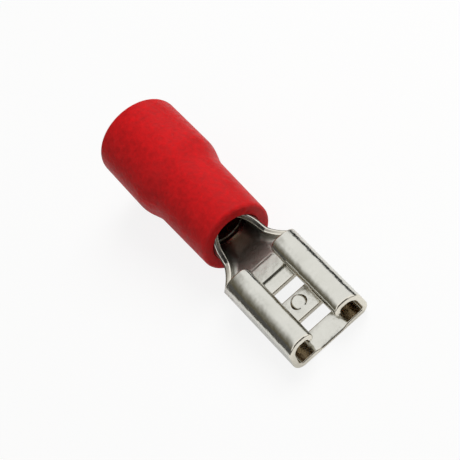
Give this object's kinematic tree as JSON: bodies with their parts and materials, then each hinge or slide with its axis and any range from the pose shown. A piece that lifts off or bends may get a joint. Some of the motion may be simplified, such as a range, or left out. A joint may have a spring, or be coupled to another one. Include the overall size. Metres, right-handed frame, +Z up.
{
  "type": "female spade terminal",
  "caption": "Female spade terminal: a rolled socket for a flat tab on a crimp barrel, with a flared vinyl sleeve over the barrel.",
  "frame": {"origin": "on the crimp barrel's axis, at the wire-entry face of the sleeve", "axes": "+X runs along the barrel towards the mouth of the tab socket, +Y across the socket, +Z up, away from the socket's floor"},
  "size_m": [0.0205, 0.0058, 0.0058],
  "materials": {
    "tinned_brass": "stamped brass strip, bright tin plated",
    "red_vinyl": "moulded soft vinyl, satin"
  },
  "bodies": {
    "root": {"terminal": "tinned_brass", "sleeve": "red_vinyl"}
  },
  "joints": []
}
